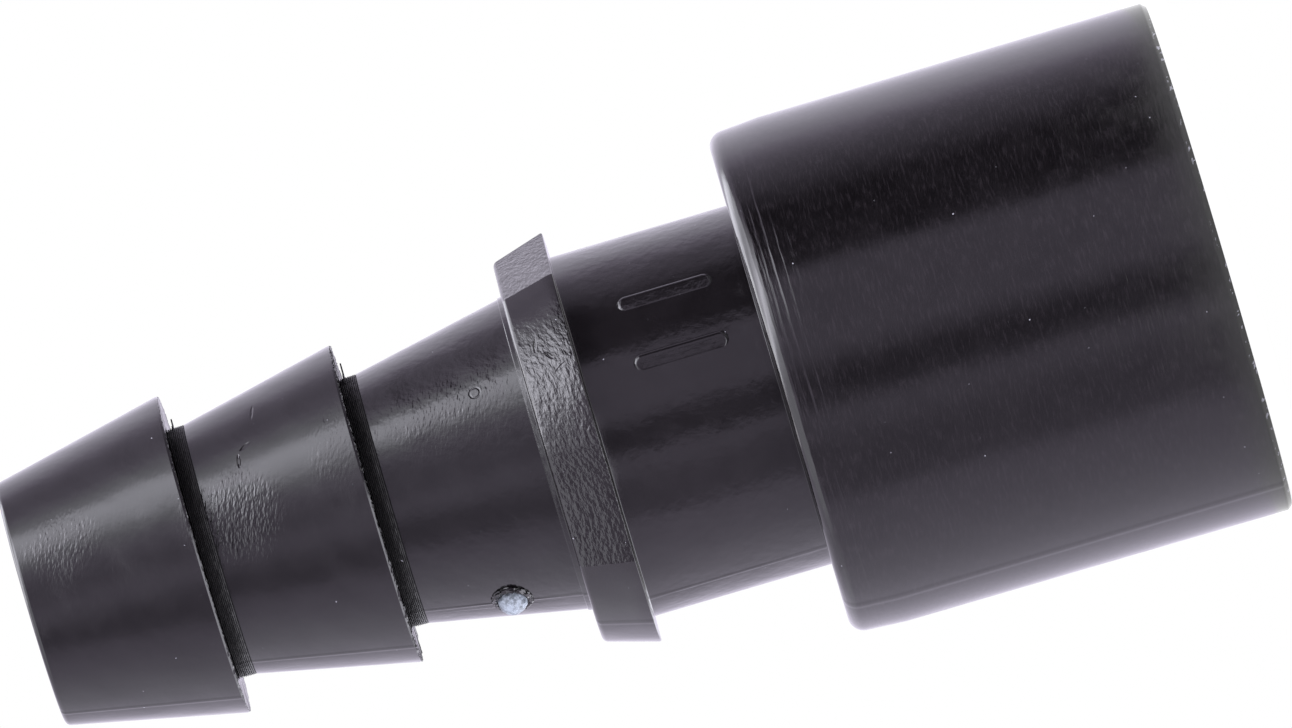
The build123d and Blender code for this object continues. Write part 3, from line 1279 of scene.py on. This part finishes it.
def dress_world(stage):
    """Soft surroundings that the plastic mirrors, white to the camera."""
    world = bpy.data.worlds.new("studio")
    bpy.context.scene.world = world
    world.use_nodes = True
    tree = world.node_tree
    tree.nodes.clear()
    point = put(tree, "ShaderNodeTexCoord")
    x, y, rise = split(tree, point.outputs["Generated"])
    turn = sums(tree, "SUBTRACT", sums(tree, "ARCTAN2", y, x), stage.viewer_turn)
    share = sums(tree, "FRACT", added(tree, 1.5, turn, 1 / math.tau))
    # One ramp hands over to the next between two heights: -1 is straight down, 1 is straight up
    grey = ramp(tree, share, LEVEL_STUDIO)
    grey = blend(tree, ease(tree, rise, 0.18, 0.33), grey, ramp(tree, share, RAISED_STUDIO))
    grey = blend(tree, ease(tree, rise, 0.47, 0.60), grey, ramp(tree, share, HIGH_STUDIO))
    grey = blend(tree, fade(tree, rise, -0.35, -0.15), grey, ramp(tree, share, LOW_STUDIO))
    bright = ease(tree, grey, 0.7 / BRIGHTEST, 1.6 / BRIGHTEST)
    tint = blend(tree, bright, TINT_DIM, TINT_BRIGHT)
    light = put(tree, "ShaderNodeBackground")
    light.inputs["Strength"].default_value = BRIGHTEST
    tree.links.new(blend(tree, 1.0, grey, tint, "MULTIPLY"), light.inputs["Color"])
    out = put(tree, "ShaderNodeOutputWorld")
    tree.links.new(camera_rays_white(tree, light.outputs[0]), out.inputs["Surface"])


def floor_material():
    """White floor that glows to the camera and in mirrors, and keeps a soft shadow."""
    glow_share = 0.86
    material, tree, skin = new_material("white floor")
    skin.inputs["Base Color"].default_value = (0.85, 0.85, 0.86, 1)
    skin.inputs["Roughness"].default_value = 0.9
    path = put(tree, "ShaderNodeLightPath")
    glow = put(tree, "ShaderNodeEmission")
    glow.inputs["Color"].default_value = (1, 1, 1, 1)
    seen = greater(tree, path.outputs["Is Glossy Ray"], path.outputs["Is Transmission Ray"])
    seen = greater(tree, seen, path.outputs["Is Camera Ray"])
    mix = put(tree, "ShaderNodeMixShader")
    tree.links.new(product(tree, seen, glow_share), mix.inputs[0])
    tree.links.new(skin.outputs[0], mix.inputs[1])
    tree.links.new(glow.outputs[0], mix.inputs[2])
    tree.links.new(mix.outputs[0], tree.nodes["Material Output"].inputs["Surface"])
    return material


def viewer_direction(stage):
    """Level direction from the axis to the viewer."""
    return Vector((math.cos(stage.viewer_turn), math.sin(stage.viewer_turn), 0))


def soft_lamp(name, stage, turn, rise, distance, side, power):
    """Square lamp that looks at the middle of the connector. The turn is counted from the viewer."""
    middle = Vector((0, 0, WHOLE_LENGTH / 2))
    level = Matrix.Rotation(math.radians(turn), 3, "Z") @ viewer_direction(stage)
    towards = level * math.cos(math.radians(rise)) + Vector((0, 0, math.sin(math.radians(rise))))
    bpy.ops.object.light_add(type="AREA", location=middle + towards * distance)
    lamp = bpy.context.object
    lamp.name = name
    lamp.rotation_euler = towards.to_track_quat("Z", "Y").to_euler()
    lamp.data.shape = "SQUARE"
    lamp.data.size = side
    lamp.data.energy = power


def place_camera(stage):
    """Camera far off to the side, rolled so that the tail points down to the left of the picture."""
    viewer = viewer_direction(stage)
    upright = Vector((0, 0, 1))
    side = upright.cross(viewer)
    target = upright * stage.view_height + side * stage.view_side
    place = viewer * stage.camera_distance + side * stage.view_side + upright * stage.camera_height
    back = (place - target).normalized()
    right = -upright * math.cos(stage.roll) - side * math.sin(stage.roll)
    right = (right - back * right.dot(back)).normalized()
    up = back.cross(right)
    turned = Matrix((right, up, back)).transposed().to_4x4()
    bpy.ops.object.camera_add(location=(0, 0, 0))
    camera = bpy.context.object
    camera.matrix_world = Matrix.Translation(place) @ turned
    camera.data.sensor_width = 36
    camera.data.lens = camera.data.sensor_width * stage.camera_distance / stage.field_width
    camera.data.clip_start = 0.01
    camera.data.clip_end = 10
    bpy.context.scene.camera = camera


class CONNECTOR_OT_stage(bpy.types.Operator):
    """Add the white floor, the surroundings, the lamp and the camera"""

    bl_idname = "connector.stage"
    bl_label = "Stage"

    def execute(self, context):
        stage = context.scene.stage_settings
        bpy.ops.object.select_all(action="DESELECT")
        bpy.ops.mesh.primitive_plane_add(size=stage.floor_size, location=(0, 0, 0))
        floor = start_piece("floor")
        floor.data.materials.append(floor_material())
        dress_world(stage)
        soft_lamp(
            "overhead lamp",
            stage,
            turn=150,
            rise=75,
            distance=1.0,
            side=0.6,
            power=stage.overhead_power,
        )
        place_camera(stage)
        context.scene.view_settings.view_transform = "Standard"
        return {"FINISHED"}


class CONNECTOR_PT_panel(bpy.types.Panel):
    bl_label = "Hose connector"
    bl_idname = "CONNECTOR_PT_panel"
    bl_space_type = "VIEW_3D"
    bl_region_type = "UI"
    bl_category = "Connector"

    def draw(self, context):
        layout = self.layout
        for operator in OPERATORS:
            layout.operator(operator.bl_idname)
        for settings in SETTINGS:
            group = getattr(context.scene, settings)
            box = layout.box()
            for name in group.__annotations__:
                box.prop(group, name)


SETTINGS = {
    "moulding_sizes": MouldingSizes,
    "detail_sizes": DetailSizes,
    "finish_settings": FinishSettings,
    "stage_settings": StageSettings,
}
OPERATORS = (
    CONNECTOR_OT_moulding,
    CONNECTOR_OT_gate_stub,
    CONNECTOR_OT_flash,
    CONNECTOR_OT_stage,
)


def register():
    for name, group in SETTINGS.items():
        bpy.utils.register_class(group)
        setattr(bpy.types.Scene, name, bpy.props.PointerProperty(type=group))
    for item in (*OPERATORS, CONNECTOR_PT_panel):
        bpy.utils.register_class(item)


def unregister():
    for item in reversed((*OPERATORS, CONNECTOR_PT_panel)):
        bpy.utils.unregister_class(item)
    for name, group in SETTINGS.items():
        delattr(bpy.types.Scene, name)
        bpy.utils.unregister_class(group)


def main():
    register()
    bpy.ops.connector.moulding()
    bpy.ops.connector.gate_stub()
    bpy.ops.connector.flash()
    bpy.ops.connector.stage()


if __name__ == "__main__":
    main()
